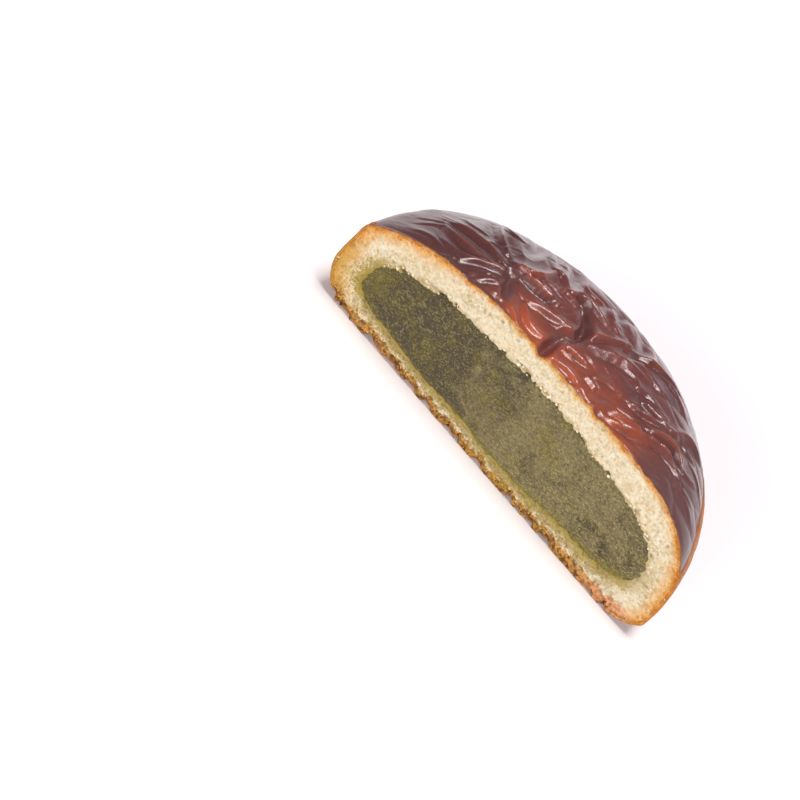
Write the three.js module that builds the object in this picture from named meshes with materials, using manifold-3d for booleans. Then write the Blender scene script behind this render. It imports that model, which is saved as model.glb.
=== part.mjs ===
// Half of a glazed anpan: a round sweet bun, cut down the middle, with its
// bean paste showing in the cut.
//
// Millimetres, +Z up. The half rests on its flat base. The cut face looks
// along -Y, the rounded back of the bun along +Y, and X runs along the cut.
// The shapes are worked out in plan coordinates of the cut: x along the cut
// from its middle, y into the bun from the cut. PLACE then sets the half with
// the middle of its base at the origin.

import * as THREE from 'three';
import { mergeVertices } from 'three/addons/utils/BufferGeometryUtils.js';
import Module from 'manifold-3d';

const wasm = await Module();
wasm.setup();

// ---------------------------------------------------------------- the bun

const BUN = {
  height: 33,
  depthRatio: 0.9, // the bun is a little oval: front to back over side to side
  centreY: -1.9, // the knife passed this far behind the bun's own middle
  baseRadius: 39, // edge of the flat base
  baseCurve: 1.7, // exponent of the curl from the base up to the widest place
};

// The outline is uneven: the left shoulder slopes, the right one is full and
// its side leans outwards to the base. Other directions blend the two.
const LEFT_SIDE = {
  radius: 46.9,
  widestAt: 9.5, // height of the widest place
  flatness: 2.5, // exponent across the top: more is flatter
  shoulder: 3.1, // exponent down the side: more is squarer
};
const RIGHT_SIDE = {
  radius: 47.4,
  widestAt: 6,
  flatness: 5,
  shoulder: 2.2,
};

// Slow swells of the outline, as waves round the bun.
const OUTLINE_WAVES = [
  { count: 3, size: 0.35, phase: 0.6 },
  { count: 5, size: 0.25, phase: 2.1 },
  { count: 9, size: 0.12, phase: 4.0 },
];

// ------------------------------------------------- folds of the glazed top

// Lines along which the shrunken glaze is folded, in plan, as start, middle
// and end. A ridge has a positive height and a crease a negative one.
const FOLDS = [
  { line: [[-36, 10], [-32, 8], [-26, 7.6]], width: 0.9, height: 0.7 },
  { line: [[-36, 12.3], [-30, 12.4], [-23.5, 11]], width: 0.9, height: 0.7 },
  { line: [[-28.5, 3.2], [-25, 6.6], [-20.5, 9]], width: 1.0, height: 0.8 },
  { line: [[-29.5, 22], [-27.5, 18], [-23.5, 14.5]], width: 0.9, height: 0.8 },
  { line: [[-27, 21], [-24.6, 17.6], [-22.3, 14]], width: 1.5, height: -0.9 },
  { line: [[-22, 13.4], [-17, 14.5], [-15, 22]], width: 0.8, height: 0.8 },
  { line: [[-15, 22], [-12.8, 21.8], [-10.4, 18.8]], width: 0.8, height: 0.7 },
  { line: [[-20.5, 12.6], [-15, 13], [-10, 13.8]], width: 1.3, height: 0.5 },
  { line: [[-22, 10.2], [-15, 10.6], [-9.6, 13]], width: 0.7, height: -0.6 },
  { line: [[-20.3, 10], [-18.4, 7], [-17, 2.5]], width: 1.2, height: -1.1 },
  { line: [[-24, 0.5], [-22, 3.5], [-20, 5.2]], width: 0.7, height: 0.6 },
  { line: [[-13.5, 7.6], [-9, 9.4], [-3.4, 10.6]], width: 0.9, height: 0.6 },
  { line: [[-13.8, 5.8], [-10, 2.8], [-5.8, 4]], width: 0.8, height: 0.5 },
  { line: [[-10.4, 18.6], [-7, 21.8], [-1, 20.8]], width: 0.9, height: 0.7 },
  { line: [[-8, 20.4], [-4, 17.4], [-2.2, 12]], width: 1.1, height: -1.6 },
  { line: [[-2.2, 14.5], [-2.1, 12], [-2.9, 8.6]], width: 1.2, height: -1.4 },
  { line: [[-4.2, 8.4], [-4.5, 4], [-4.3, -1]], width: 1.2, height: -1.5 },
  { line: [[-1.6, 9], [-0.8, 14], [4.2, 20.6]], width: 0.8, height: 0.8 },
  { line: [[5.6, 20.2], [9, 23.6], [17, 26.8]], width: 0.9, height: 0.8 },
  { line: [[-2, 6.2], [1, 6], [4, 6.9]], width: 0.7, height: -0.5 },
  { line: [[-3, 0.4], [1.5, 2], [7.5, 0.8]], width: 0.8, height: 0.6 },
  { line: [[2, 13.4], [6, 16.2], [12.5, 19]], width: 1.5, height: 0.6 },
  { line: [[14, 9.4], [19, 11.6], [24, 15]], width: 0.9, height: 0.7 },
  { line: [[24, 15], [26.5, 18.6], [31.5, 19.6]], width: 1.0, height: 0.7 },
  { line: [[14.4, 12.2], [18, 12.2], [22, 13.2]], width: 0.7, height: -0.6 },
  { line: [[20.4, 8.8], [25, 11.6], [29, 10.4]], width: 0.9, height: 0.8 },
  { line: [[22, 8.4], [25.6, 10.2], [29.5, 8.9]], width: 0.7, height: -0.6 },
  { line: [[12, 1.6], [18, 4.4], [22, 7.6]], width: 1.0, height: 0.8 },
  { line: [[22, 7.6], [26, 8.7], [31, 8]], width: 0.9, height: 0.6 },
  { line: [[6, 29], [6.2, 24], [6, 20]], width: 1.1, height: -1.2 },
  { line: [[0.6, 31], [0.8, 28], [2, 24.6]], width: 0.9, height: -1.1 },
  { line: [[-14.6, 31], [-13, 26], [-11.4, 20.4]], width: 1.0, height: -1.2 },
  { line: [[-23, 31], [-22.4, 25], [-21.4, 20]], width: 1.0, height: -1.1 },
];

// Between and behind those lines the glaze is puckered into pads, longer
// along the cut than across it, with a crease round each.
const PADS = {
  length: 12,
  width: 6.5,
  height: 0.55,
  crease: 1.3, // width of the crease between two pads
  jitter: 0.75, // how far a pad strays from its even place, as a share
  seed: 20461,
  nearFolds: 0.35, // share of their height that is left amid the folds
};

// The top is puckered up to this share of the radius, then smooths out.
const PUCKER_FADES_FROM = 0.74;
const PUCKER_ENDS_AT = 0.95;

// --------------------------------------------------------------- the paste

const PASTE = {
  left: { reach: 38.9, middleHeight: 10.6, rise: 13.9, drop: 7 },
  right: { reach: 40.4, middleHeight: 12.2, rise: 14, drop: 6.7 },
  depthRatio: 0.88,
  topCurve: 2.75, // exponent of its domed upper side
  bottomCurve: 3.2, // exponent of its flatter lower side
  waves: [ // its edge is uneven, as waves over its length and round it
    { count: 5, size: 0.4, phase: 1.2 },
    { count: 11, size: 0.3, phase: 0.4 },
    { count: 17, size: 0.15, phase: 2.9 },
  ],
};

const GAP = 0.3; // clearance kept between the paste and the bread

// ------------------------------------------------------- fineness of meshes

const BUN_ROWS = 52; // from the top to the edge of the base
const BUN_SPOKES = 186;
const SMOOTH_BELOW = 20; // height under which the rows are wider apart
const SMOOTH_ROW_SHARE = 0.5; // rows there, as a share of those on the top
const PASTE_ROWS = 24;
const PASTE_SPOKES = 64;

// Where the half lies: the middle of its outline comes over the origin.
const PLACE = { x: -0.57, y: -20.04 };

// ------------------------------------------------------------- small tools

const mix = (a, b, share) => a + (b - a) * share;

function smoothstep(from, to, value) {
  const t = Math.min(Math.max((value - from) / (to - from), 0), 1);
  return t * t * (3 - 2 * t);
}

// A seeded draw that gives numbers from 0 up to 1.
function drawFrom(seed) {
  let state = seed;
  return () => {
    state = (state * 1664525 + 1013904223) % 4294967296;
    return state / 4294967296;
  };
}

function sumOfWaves(waves, angle) {
  let sum = 0;
  for (const wave of waves) {
    sum += wave.size * Math.sin(wave.count * angle + wave.phase);
  }
  return sum;
}

// ---------------------------------------------------- relief of the glaze

const FOLD_STEPS = 8;

// The fold's curve passes through its middle point.
function foldCurve([start, middle, end]) {
  const bend = [
    2 * middle[0] - (start[0] + end[0]) / 2,
    2 * middle[1] - (start[1] + end[1]) / 2,
  ];
  return new THREE.QuadraticBezierCurve(
    new THREE.Vector2(...start),
    new THREE.Vector2(...bend),
    new THREE.Vector2(...end),
  );
}

const foldLines = FOLDS.map((fold) => ({
  ...fold,
  points: foldCurve(fold.line).getPoints(FOLD_STEPS),
}));

// Height that one fold adds at a place. It dies away at both ends.
function foldHeight(fold, x, y) {
  let nearest = Infinity;
  let along = 0;
  for (let i = 0; i < FOLD_STEPS; i += 1) {
    const a = fold.points[i];
    const b = fold.points[i + 1];
    const ux = b.x - a.x;
    const uy = b.y - a.y;
    const t = ((x - a.x) * ux + (y - a.y) * uy) / (ux * ux + uy * uy);
    const share = Math.min(Math.max(t, 0), 1);
    const distance = Math.hypot(x - a.x - share * ux, y - a.y - share * uy);
    if (distance < nearest) {
      nearest = distance;
      along = (i + share) / FOLD_STEPS;
    }
  }
  const across = 1 / Math.cosh(nearest / fold.width);
  const taper = Math.sqrt(Math.sin(Math.PI * mix(0.06, 0.94, along)));
  return fold.height * across * across * taper;
}

function padCentres() {
  const draw = drawFrom(PADS.seed);
  const centres = [];
  for (let y = -9; y < 52; y += PADS.width) {
    for (let x = -60; x < 60; x += PADS.length) {
      centres.push([
        x + PADS.length * PADS.jitter * (draw() - 0.5) * 2,
        y + PADS.width * PADS.jitter * (draw() - 0.5),
      ]);
    }
  }
  return centres;
}

const pads = padCentres();

// Height of the pads at a place: a pillow that falls into its crease.
function padHeight(x, y) {
  let first = Infinity;
  let second = Infinity;
  for (const [padX, padY] of pads) {
    const distance = Math.hypot((x - padX) * (PADS.width / PADS.length), y - padY);
    if (distance < first) {
      second = first;
      first = distance;
    } else if (distance < second) {
      second = distance;
    }
  }
  return -PADS.height * Math.exp(-(second - first) / PADS.crease);
}

function reliefAt(x, y, radiusShare) {
  let height = 0;
  let nearFolds = 0;
  for (const fold of foldLines) {
    const added = foldHeight(fold, x, y);
    height += added;
    nearFolds = Math.max(nearFolds, Math.abs(added / fold.height));
  }
  const padShare = mix(1, PADS.nearFolds, smoothstep(0, 0.5, nearFolds));
  height += padHeight(x, y) * padShare;
  return height * (1 - smoothstep(PUCKER_FADES_FROM, PUCKER_ENDS_AT, radiusShare));
}

// ------------------------------------------------------------ bun surface

// The side that faces one direction of the plan, blended from left and right.
function sideAt(angle) {
  const share = (1 + Math.cos(angle)) / 2;
  const side = {};
  for (const name of Object.keys(LEFT_SIDE)) {
    side[name] = mix(LEFT_SIDE[name], RIGHT_SIDE[name], share);
  }
  side.radius += sumOfWaves(OUTLINE_WAVES, angle);
  return side;
}

// A point of the skin. turn goes from 0 at the top over a quarter turn at
// the widest place to a half turn at the edge of the base.
function skinPoint(side, turn) {
  const across = Math.sin(turn);
  const up = Math.cos(turn);
  if (up >= 0) {
    return {
      r: side.radius * across ** (2 / side.flatness),
      z: side.widestAt + (BUN.height - side.widestAt) * up ** (2 / side.shoulder),
    };
  }
  return {
    r: mix(BUN.baseRadius, side.radius, across ** (2 / BUN.baseCurve)),
    z: side.widestAt * (1 - (-up) ** (2 / BUN.baseCurve)),
  };
}

// Turns that space the rows evenly along the skin in a middling direction,
// closely on the puckered top and wider apart down the smooth side.
function rowTurns(rows) {
  const side = sideAt(Math.PI / 2);
  const samples = 2000;
  const lengths = [0];
  let last = skinPoint(side, 0);
  for (let i = 1; i <= samples; i += 1) {
    const next = skinPoint(side, (Math.PI * i) / samples);
    const length = Math.hypot(next.r - last.r, next.z - last.z);
    const smooth = next.z < SMOOTH_BELOW ? SMOOTH_ROW_SHARE : 1;
    lengths.push(lengths[i - 1] + length * smooth);
    last = next;
  }
  const turns = [];
  let at = 0;
  for (let row = 0; row <= rows; row += 1) {
    const wanted = (lengths[samples] * row) / rows;
    while (at < samples && lengths[at] < wanted) {
      at += 1;
    }
    turns.push((Math.PI * at) / samples);
  }
  return turns;
}

// The closed skin of the whole bun, with its flat base.
function bunGeometry() {
  const turns = rowTurns(BUN_ROWS);
  const middling = sideAt(Math.PI / 2);
  const profile = turns.map((turn) => {
    const point = skinPoint(middling, turn);
    return new THREE.Vector2(point.r, point.z);
  });
  profile.push(new THREE.Vector2(0, 0));
  const geometry = new THREE.LatheGeometry(profile.reverse(), BUN_SPOKES);
  const position = geometry.attributes.position;
  const rowCount = profile.length;
  for (let i = 0; i < position.count; i += 1) {
    const row = rowCount - 1 - (i % rowCount);
    const angle = (2 * Math.PI * Math.floor(i / rowCount)) / BUN_SPOKES;
    const side = sideAt(angle);
    const isBaseCentre = row === rowCount - 1;
    const point = isBaseCentre ? { r: 0, z: 0 } : skinPoint(side, turns[row]);
    const x = point.r * Math.cos(angle);
    const y = BUN.centreY + point.r * Math.sin(angle) * BUN.depthRatio;
    const onTop = !isBaseCentre && turns[row] < Math.PI / 2;
    const relief = onTop ? reliefAt(x, y, point.r / side.radius) : 0;
    position.setXYZ(i, x, y, point.z + relief);
  }
  return geometry;
}

// ---------------------------------------------------------- paste surface

// The closed body of the whole paste, grown outwards by a margin.
function pasteGeometry(margin) {
  const geometry = new THREE.SphereGeometry(1, PASTE_SPOKES, PASTE_ROWS);
  geometry.rotateX(Math.PI / 2);
  const position = geometry.attributes.position;
  for (let i = 0; i < position.count; i += 1) {
    const x = position.getX(i);
    const y = position.getY(i);
    const z = position.getZ(i);
    const across = Math.hypot(x, y);
    const share = (1 + x) / 2;
    const size = {};
    for (const name of Object.keys(PASTE.left)) {
      size[name] = mix(PASTE.left[name], PASTE.right[name], share);
    }
    const curve = z > 0 ? PASTE.topCurve : PASTE.bottomCurve;
    const sheer = (across ** curve + Math.abs(z) ** curve) ** (-1 / curve);
    const uneven = sumOfWaves(PASTE.waves, x + y * z);
    const reach = size.reach + margin + uneven * across;
    const thickness = (z > 0 ? size.rise : size.drop) + margin;
    const swell = uneven * Math.abs(z);
    position.setXYZ(
      i,
      x * sheer * reach,
      BUN.centreY + y * sheer * reach * PASTE.depthRatio,
      size.middleHeight + z * sheer * thickness + Math.sign(z) * swell,
    );
  }
  return geometry;
}

// ------------------------------------------------------------ solids

function solidOf(geometry) {
  const bare = geometry.clone();
  bare.deleteAttribute('normal');
  bare.deleteAttribute('uv');
  const merged = mergeVertices(bare, 1e-4);
  return new wasm.Manifold(new wasm.Mesh({
    numProp: 3,
    vertProperties: Float32Array.from(merged.attributes.position.array),
    triVerts: Uint32Array.from(merged.index.array),
  }));
}

function geometryOf(solid) {
  const mesh = solid.getMesh();
  const geometry = new THREE.BufferGeometry();
  geometry.setAttribute('position', new THREE.BufferAttribute(mesh.vertProperties, 3));
  geometry.setIndex(new THREE.BufferAttribute(mesh.triVerts, 1));
  geometry.computeVertexNormals();
  return geometry;
}

// Everything in front of the knife's plane.
function cutAwayHalf() {
  const size = 200;
  const box = new THREE.BoxGeometry(size, size, size);
  box.translate(0, -size / 2, 0);
  return solidOf(box);
}

function namedMesh(name, solid, look) {
  const mesh = new THREE.Mesh(geometryOf(solid), new THREE.MeshStandardMaterial(look));
  mesh.name = name;
  return mesh;
}

// ------------------------------------------------------------ the half bun

const frontHalf = cutAwayHalf();

const bread = solidOf(bunGeometry())
  .subtract(frontHalf)
  .subtract(solidOf(pasteGeometry(GAP)));

const filling = solidOf(pasteGeometry(0)).subtract(frontHalf);

const anpan = new THREE.Group();
anpan.add(namedMesh('bread', bread, { color: 0x7a3520, roughness: 0.3, metalness: 0 }));
anpan.add(namedMesh('filling', filling, { color: 0x7d7440, roughness: 0.9, metalness: 0 }));
anpan.position.set(PLACE.x, PLACE.y, 0);

export default anpan;
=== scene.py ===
"""Half of a glazed anpan with its bean paste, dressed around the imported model.

Shapes are worked out in millimetres in the cut's own plan: x along the cut
from its middle, y into the bun from the cut, z up from the base. `placed`
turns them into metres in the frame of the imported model.
"""

import math

import bmesh
import bpy
import numpy as np
from bpy.props import FloatProperty, FloatVectorProperty, PointerProperty
from mathutils import Matrix, Vector


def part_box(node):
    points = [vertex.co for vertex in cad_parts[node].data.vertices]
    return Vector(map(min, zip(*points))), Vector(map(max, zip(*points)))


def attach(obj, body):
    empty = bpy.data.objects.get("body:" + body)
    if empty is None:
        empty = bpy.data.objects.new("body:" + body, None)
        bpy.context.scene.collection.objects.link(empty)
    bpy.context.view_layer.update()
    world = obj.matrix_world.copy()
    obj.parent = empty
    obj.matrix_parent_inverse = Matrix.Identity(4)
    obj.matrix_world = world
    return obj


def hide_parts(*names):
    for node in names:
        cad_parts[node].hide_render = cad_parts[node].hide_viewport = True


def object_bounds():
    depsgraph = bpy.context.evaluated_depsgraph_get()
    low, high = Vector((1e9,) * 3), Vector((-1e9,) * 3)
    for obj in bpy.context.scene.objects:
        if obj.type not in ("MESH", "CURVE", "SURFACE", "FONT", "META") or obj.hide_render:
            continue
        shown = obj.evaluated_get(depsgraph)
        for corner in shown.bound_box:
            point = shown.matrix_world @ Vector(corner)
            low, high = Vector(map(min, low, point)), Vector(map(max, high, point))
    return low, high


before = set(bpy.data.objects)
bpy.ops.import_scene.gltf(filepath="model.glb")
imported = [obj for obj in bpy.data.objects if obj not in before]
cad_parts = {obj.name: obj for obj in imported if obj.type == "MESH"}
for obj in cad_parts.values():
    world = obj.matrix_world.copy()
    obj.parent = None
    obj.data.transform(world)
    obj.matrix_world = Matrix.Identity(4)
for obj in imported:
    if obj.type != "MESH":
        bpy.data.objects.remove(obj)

bl_info = {
    "name": "Anpan half",
    "version": (1, 0, 0),
    "blender": (4, 5, 0),
    "location": "3D View > Sidebar > Anpan",
    "description": "Makes half of a glazed bean paste bun and its stage",
    "category": "Add Mesh",
}

CAD_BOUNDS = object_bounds()

# ------------------------------------------------------------------ the bun

CUT_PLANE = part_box("bread")[0][1] * 1000  # where the cut lies in the frame
MIDDLE_X = -0.57  # where the cut's middle lies in the frame
BUN_HEIGHT = 33.0
DEPTH_RATIO = 0.9  # the bun is a little oval
CENTRE_Y = -1.9  # the knife passed this far behind the bun's own middle
BASE_RADIUS = 39.0
BASE_CURVE = 1.7

# The left shoulder slopes, the right one is full and its side leans outwards.
# On the left a low swell makes a corner where the glaze ends.
LEFT_SIDE = {"radius": 46.9, "widest_at": 9.5, "flatness": 2.5, "shoulder": 3.1, "swell": 1.0}
RIGHT_SIDE = {"radius": 47.4, "widest_at": 6.0, "flatness": 5.0, "shoulder": 2.2, "swell": 0.0}
SWELL_AT = 20.8
SWELL_WIDTH = 2.8

# Slow swells of the outline: waves round the bun, size and phase.
OUTLINE_WAVES = ((3, 0.35, 0.6), (5, 0.25, 2.1), (9, 0.12, 4.0))

# Lines along which the shrunken glaze is folded, in plan: start, middle, end,
# width and height. A crease has a negative height.
FOLDS = (
    ((-36, 10), (-32, 8), (-26, 7.6), 0.9, 0.7),
    ((-36, 12.3), (-30, 12.4), (-23.5, 11), 0.9, 0.7),
    ((-28.5, 3.2), (-25, 6.6), (-20.5, 9), 1.0, 0.8),
    ((-29.5, 22), (-27.5, 18), (-23.5, 14.5), 0.9, 0.8),
    ((-27, 21), (-24.6, 17.6), (-22.3, 14), 1.5, -0.9),
    ((-22, 13.4), (-17, 14.5), (-15, 22), 0.8, 0.8),
    ((-15, 22), (-12.8, 21.8), (-10.4, 18.8), 0.8, 0.7),
    ((-20.5, 12.6), (-15, 13), (-10, 13.8), 1.3, 0.5),
    ((-22, 10.2), (-15, 10.6), (-9.6, 13), 0.7, -0.6),
    ((-20.3, 10), (-18.4, 7), (-17, 2.5), 1.2, -1.1),
    ((-24, 0.5), (-22, 3.5), (-20, 5.2), 0.7, 0.6),
    ((-13.5, 7.6), (-9, 9.4), (-3.4, 10.6), 0.9, 0.6),
    ((-13.8, 5.8), (-10, 2.8), (-5.8, 4), 0.8, 0.5),
    ((-10.4, 18.6), (-7, 21.8), (-1, 20.8), 0.9, 0.7),
    ((-8, 20.4), (-4, 17.4), (-2.2, 12), 1.1, -1.6),
    ((-2.2, 14.5), (-2.1, 12), (-2.9, 8.6), 1.2, -1.4),
    ((-4.2, 8.4), (-4.5, 4), (-4.3, -1), 1.2, -1.5),
    ((-1.6, 9), (-0.8, 14), (4.2, 20.6), 0.8, 0.8),
    ((5.6, 20.2), (9, 23.6), (17, 26.8), 0.9, 0.8),
    ((-2, 6.2), (1, 6), (4, 6.9), 0.7, -0.5),
    ((-3, 0.4), (1.5, 2), (7.5, 0.8), 0.8, 0.6),
    ((2, 13.4), (6, 16.2), (12.5, 19), 1.5, 0.6),
    ((14, 9.4), (19, 11.6), (24, 15), 0.9, 0.7),
    ((24, 15), (26.5, 18.6), (31.5, 19.6), 1.0, 0.7),
    ((14.4, 12.2), (18, 12.2), (22, 13.2), 0.7, -0.6),
    ((20.4, 8.8), (25, 11.6), (29, 10.4), 0.9, 0.8),
    ((22, 8.4), (25.6, 10.2), (29.5, 8.9), 0.7, -0.6),
    ((12, 1.6), (18, 4.4), (22, 7.6), 1.0, 0.8),
    ((22, 7.6), (26, 8.7), (31, 8), 0.9, 0.6),
    ((6, 29), (7.6, 24.4), (6, 20), 1.5, -0.95),
    ((0.6, 31), (-0.4, 27.6), (2, 24.6), 1.3, -0.9),
    ((-14.6, 31), (-12.2, 26.4), (-11.4, 20.4), 1.5, -0.95),
    ((-23, 31), (-21.2, 25.6), (-21.4, 20), 1.4, -0.9),
)

# Finer wrinkles of the same kind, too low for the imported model.
FINE_FOLDS = (
    ((-17, 15.2), (-12.5, 16.1), (-8, 15.2), 0.6, 0.3),
    ((-3.6, 8.6), (-3.4, 4.5), (-2.7, 0.4), 0.5, 0.35),
    ((-6.4, 8.6), (-4.8, 9.8), (-3.4, 10), 0.5, 0.35),
    ((8.5, 15.6), (10.8, 15.9), (12.2, 14.3), 0.5, 0.3),
    ((12.2, 14.3), (14.5, 15.5), (17.5, 15.8), 0.5, 0.3),
    ((11.9, 13.4), (11.3, 10.8), (11.1, 8.4), 0.7, 0.3),
    ((5.6, 6.8), (7.4, 8.2), (9.4, 8.9), 0.6, 0.3),
    ((-3, 4.6), (0.5, 5.4), (3.6, 6.6), 0.5, 0.3),
    ((9.4, -0.4), (10, 2), (10.6, 3.8), 0.5, 0.35),
    ((13.8, 9), (15.4, 11), (17.5, 12), 0.5, 0.3),
    ((29, 10.2), (31.5, 10.2), (33.8, 11.8), 0.6, 0.35),
    ((30, 7), (33, 6.8), (36, 7.4), 0.5, 0.2),
    ((31, 5.6), (34, 6), (38, 5.6), 0.5, 0.2),
    ((-34, 5), (-31, 4.2), (-28.5, 4.6), 0.6, 0.3),
    ((-39, 3.4), (-36, 3.8), (-33, 2.6), 0.6, 0.25),
    ((-40, 6.5), (-38, 8.5), (-36.2, 9.8), 0.6, 0.25),
    ((-35, 17), (-33, 15.6), (-29.5, 15.4), 0.6, 0.25),
    ((-19.5, 2), (-15.5, 2.6), (-12, 0.6), 0.7, 0.35),
    ((1, 9.4), (2.6, 9.2), (4.4, 8.5), 0.4, 0.25),
    ((-11, 12.4), (-10, 12.8), (-9.6, 14), 0.4, 0.3),
    ((-6.6, 16.4), (-6, 14.4), (-6.8, 12.8), 0.7, 0.35),
    ((26, 15.2), (28, 14.6), (30.5, 15.4), 0.4, 0.3),
    ((-28, 12.6), (-26.5, 13.8), (-24, 13.6), 0.4, 0.25),
    ((-38, 14), (-34, 13), (-30, 13.6), 0.5, 0.2),
    ((-41, 9), (-38, 10.6), (-35, 11), 0.5, 0.18),
    ((-30, 27), (-28, 24.5), (-25, 23.6), 0.6, 0.3),
    ((-10.4, 27), (-8, 24.6), (-5, 25.6), 0.6, 0.35),
    ((-2.6, 26.5), (-1, 23.5), (1.5, 22), 0.7, 0.4),
    ((9, 19.4), (12, 20.6), (16, 20), 0.8, 0.3),
    ((13, 24), (18, 24.6), (23, 23), 0.7, 0.3),
    ((30, 13.4), (33, 13.6), (36, 12.4), 0.5, 0.25),
    ((-25, -1.5), (-23.6, 1.5), (-21.6, 3.4), 1.1, -0.5),
    ((2.4, -1.4), (3.2, 0.8), (5.2, 2.2), 0.7, -0.3),
    ((11, -1.5), (11.8, 1.2), (13.4, 2.8), 1.0, -0.4),
    ((25, -1.5), (26.2, 1), (28.6, 2.4), 1.0, -0.4),
)

# Slopes of the folded glaze that face the cut, in the same terms.
BANKS = (
    ((-21.8, 12.3), (-16, 12.1), (-10.6, 13.2), 1.6, 0.62),
    ((-12.6, 17), (-9.4, 17.4), (-6.2, 16.8), 1.4, 0.55),
    ((-2.8, 6.1), (0, 6.8), (3.4, 7.4), 1.0, 0.45),
    ((4.0, 4.4), (5.8, 4.6), (7.4, 4.1), 1.0, 0.42),
    ((11.6, 3.6), (16, 4.6), (19.4, 6.4), 1.9, 0.62),
    ((19.6, 6.6), (23.4, 7.8), (26.6, 8.6), 1.3, 0.55),
    ((14.6, 13.2), (18, 13.4), (21.8, 13.9), 1.4, 0.55),
    ((-11.2, 11.3), (-9.8, 11), (-8, 10.5), 1.2, 0.4),
    ((-23.6, 4.8), (-22, 5.4), (-20.4, 5.9), 1.0, 0.42),
    ((-25.4, 15.4), (-24.5, 14.4), (-23.4, 13.7), 0.9, 0.4),
)
BANK_HATCH = 0.07
CREST_ROUND = 0.24
FOLD_SCALE = 1.25
FOLD_SINK = 0.2  # the top between the folds lies this much lower
FOLD_STEPS = 8

# Between and behind those lines the glaze is puckered into pads.
PAD_LENGTH = 12.0
PAD_WIDTH = 6.5
PAD_HEIGHT = 0.55
PAD_CREASE = 1.3
PAD_JITTER = 0.75
PAD_SEED = 20461
PAD_SHARE_NEAR_FOLDS = 0.35
PAD_SHARE_IN_FRONT = 0.45
PAD_SHARE_BEHIND = 0.8
PUCKER_FADES_FROM = 0.79  # share of the radius
PUCKER_ENDS_AT = 1.0

# The glaze ends in an uneven line round the side. Noise is given as layers:
# the height, size and seed of each.
GLAZE_ENDS_AT = 21.6
GLAZE_WANDERS = ((0.9, 5.0, 31), (0.5, 1.4, 32))
GLAZE_EDGE = 0.5
GLAZE_EDGE_BEHIND = 2.2  # times as soft behind the cut
SLANT_AT = (-30, 0, 18, 36)  # places from the left end to the right
GLAZE_SLANT = (-5.0, 0.0, 0.0, 4.5)  # how far it climbs there behind the cut
SIDE_GRAIN = ((0.05, 0.9, 33),)
RUT_DEPTHS = (0.16, 0.07)  # at the cut and behind it

# The base is crumbly, most of all where it is cut.
BASE_BITS = ((1.0, 2.2, 35), (0.6, 0.8, 36))
BASE_TORN = (1.5, 0.55)  # at the cut and behind it
BASE_TORN_AT_RIGHT = 1.25
BASE_CRUMBLES_UP_TO = 4.5

# The face of the cut lies a little behind the knife's plane.
FACE_DEPTH = 0.42
COTTON = ((1.0, 0.6, 27), (0.6, 0.36, 28))
BASE_GRAINS = ((1.0, 0.8, 26), (0.4, 0.4, 30))

# ---------------------------------------------------------------- the paste

PASTE_LEFT = {"reach": 38.9, "middle": 10.6, "rise": 13.9, "drop": 7.0}
PASTE_RIGHT = {"reach": 40.4, "middle": 12.2, "rise": 14.0, "drop": 6.7}
PASTE_DEPTH_RATIO = 0.88
PASTE_TOP_CURVE = 2.75
PASTE_BOTTOM_CURVE = 3.2
PASTE_WAVES = ((5, 0.4, 1.2), (11, 0.3, 0.4), (17, 0.15, 2.9))
PASTE_FACE = ((0.14, (9.0, 1.0, 5.0), 51), (0.07, 1.7, 52), (0.06, 0.6, 53), (0.042, 0.38, 54))
PASTE_ENDS_BEHIND = 0.8  # its back and its two ends start this far behind the cut
HOLLOW_MARGIN = 0.3  # the hollow is this much wider than the paste
HOLLOW_LINE = 24.0  # half the length of the line inside it at the cut
CRUMB_LAPS = ((0.3, 1.3, 41), (0.25, 3.7, 42))  # how crumb lies over the paste's edge

# ------------------------------------------------------- fineness of meshes

CRUST_COLUMNS = 450
SKIN_STEP = 0.24  # between two rows of the skin on the top
SIDE_STEPS = 2.6  # times as far apart on the side
HALVINGS = 26  # of the way to a surface along a ray
RAY_LENGTH = 70.0
CRUMB_COLUMNS = 1280
CRUMB_ROWS = 56
PASTE_SLICES = 480
PASTE_FRONT_ROWS = 120
PASTE_BACK_ROWS = 24

# The crumb is a slab set into the crust behind a narrow rim.
RIM = 0.55
RIM_ROWS = ((0.08, 0.1), (0.17, 0.02), (0.28, 0.0), (0.4, 0.0), (RIM, 0.3))
RECESS = 1.5
SLAB_DEPTH = 1.3
SLAB_BEVEL = 0.1
SLAB_STARTS_AT = 0.45
HOLLOW_DEPTHS = np.array([2.5, 6, 10, 15, 20, 24.5, 28, 30.5, 32.3])
HOLLOW_END = 33.2
SEAM_GAP = 1e-7  # metres within which the points of a seam are one

# ------------------------------------------------------------------ camera

# The camera of the photograph stands a little to the right of the cut, looks
# down and is turned over, because there the half leans on its side.
CAMERA_AZIMUTH = 2.943
CAMERA_ELEVATION = 41.640
CAMERA_ROLL = 46.791
CAMERA_DISTANCE = 519.5
CAMERA_LOOKED_AT = np.array([0.0, 20.0, 14.0])
SEEN_AT = (558.24, 377.05)  # pixel of the photograph that shows this place
PIXELS_PER_MM = 5.0058  # there
IMAGE_SIZE = 800
SENSOR_WIDTH = 36.0

# The white backdrop fades out between these heights of a view's direction.
BACKDROP_FADES_FROM = 0.0
BACKDROP_ENDS_AT = 0.6
BACKDROP_LEAN = 0.2  # it reaches this much higher at the far right

# Softboxes: name, direction from the bun, distance, size and tint.
SOFTBOXES = (
    ("key", (0.0, -0.02, 1.0), 2.0, 0.8, (1.0, 0.96, 0.97)),
    ("front", (-0.25, -0.95, 0.33), 2.2, 1.3, (1.0, 0.99, 0.98)),
)
LIT_PLACE = (0, 0, 0.015)
FLOOR_RADIUS = 6.0
FLOOR_GAP = 0.00005  # metres between the floor and the base


# ------------------------------------------------------------- small tools


def mix(a, b, share):
    return a + (b - a) * share


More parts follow.
